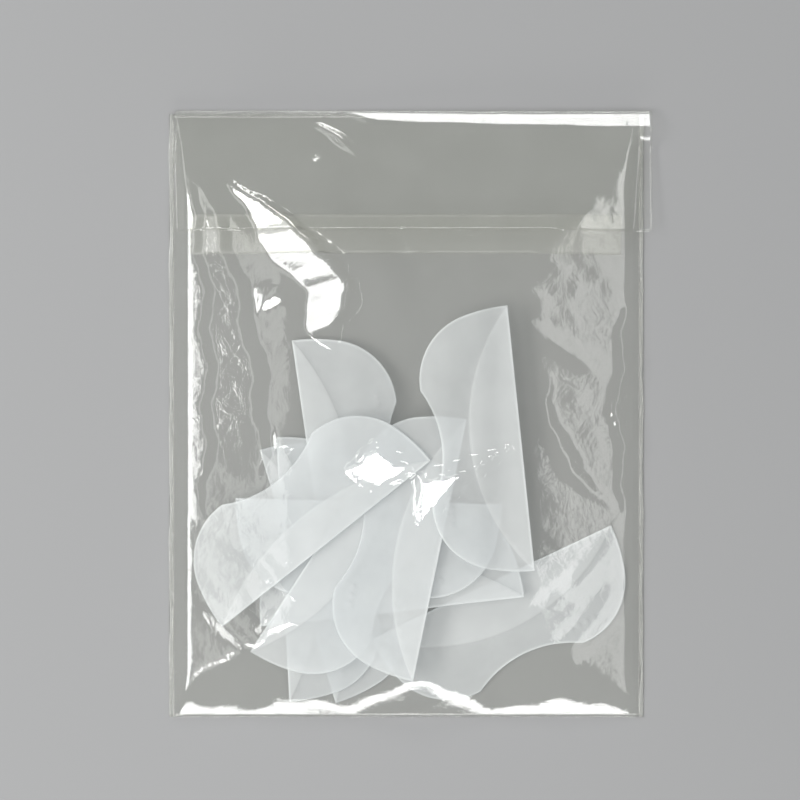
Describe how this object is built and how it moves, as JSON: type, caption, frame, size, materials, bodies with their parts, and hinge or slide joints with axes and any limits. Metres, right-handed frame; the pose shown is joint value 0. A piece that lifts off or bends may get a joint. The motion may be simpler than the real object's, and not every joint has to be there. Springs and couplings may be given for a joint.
{
  "type": "curve template set in a self-seal bag",
  "caption": "Flexible curve templates with a straight base edge, two round lobes and a waist, loose in a flat clear film bag that closes with a fold-over adhesive flap.",
  "frame": {"origin": "middle of the back film's outer face, which the bag lies on", "axes": "+X across the bag, +Y along the bag from its bottom fold to its mouth, +Z from the back film towards the front film"},
  "size_m": [0.0712, 0.0895, 0.0058],
  "materials": {
    "bag_film": "clear glossy film, thin and crinkled",
    "bag_weld": "fused double film, clear with a whitish line",
    "adhesive": "clear tacky strip, slightly hazy",
    "frosted_silicone": "frosted translucent bluish white, brighter along the edges"
  },
  "bodies": {
    "bag": {"back_panel": "bag_film", "front_panel": "bag_film", "left_weld": "bag_weld", "right_weld": "bag_weld", "bottom_fold": "bag_film", "adhesive_strip": "adhesive"},
    "flap": {"flap": "bag_film"},
    "curve_size1_a": {"curve_size1_a": "frosted_silicone"},
    "curve_size1_b": {"curve_size1_b": "frosted_silicone"},
    "curve_size2_a": {"curve_size2_a": "frosted_silicone"},
    "curve_size2_b": {"curve_size2_b": "frosted_silicone"},
    "curve_size3_a": {"curve_size3_a": "frosted_silicone"},
    "curve_size3_b": {"curve_size3_b": "frosted_silicone"},
    "curve_size4_a": {"curve_size4_a": "frosted_silicone"},
    "curve_size4_b": {"curve_size4_b": "frosted_silicone"},
    "curve_size5_a": {"curve_size5_a": "frosted_silicone"},
    "curve_size5_b": {"curve_size5_b": "frosted_silicone"}
  },
  "joints": [
    {"name": "flap_fold", "type": "hinge", "parent": "bag", "child": "flap", "pos_m": [0, 0.0446, 0.00025], "axis": [-1, 0, 0], "range_deg": [0, 166]},
    {"name": "slide_size1_a", "type": "slide", "parent": "bag", "child": "curve_size1_a", "axis": [0, 1, 0], "range_m": [0, 0.025]},
    {"name": "slide_size1_b", "type": "slide", "parent": "bag", "child": "curve_size1_b", "axis": [0, 1, 0], "range_m": [0, 0.0435]},
    {"name": "slide_size2_a", "type": "slide", "parent": "bag", "child": "curve_size2_a", "axis": [0, 1, 0], "range_m": [0, 0.0245]},
    {"name": "slide_size2_b", "type": "slide", "parent": "bag", "child": "curve_size2_b", "axis": [0, 1, 0], "range_m": [0, 0.0465]},
    {"name": "slide_size3_a", "type": "slide", "parent": "bag", "child": "curve_size3_a", "axis": [0, 1, 0], "range_m": [0, 0.031]},
    {"name": "slide_size3_b", "type": "slide", "parent": "bag", "child": "curve_size3_b", "axis": [0, 1, 0], "range_m": [0, 0.0275]},
    {"name": "slide_size4_a", "type": "slide", "parent": "bag", "child": "curve_size4_a", "axis": [0, 1, 0], "range_m": [0, 0.0435]},
    {"name": "slide_size4_b", "type": "slide", "parent": "bag", "child": "curve_size4_b", "axis": [0, 1, 0], "range_m": [0, 0.0475]},
    {"name": "slide_size5_a", "type": "slide", "parent": "bag", "child": "curve_size5_a", "axis": [0, 1, 0], "range_m": [0, 0.007]},
    {"name": "slide_size5_b", "type": "slide", "parent": "bag", "child": "curve_size5_b", "axis": [0, 1, 0], "range_m": [0, 0.054]}
  ]
}
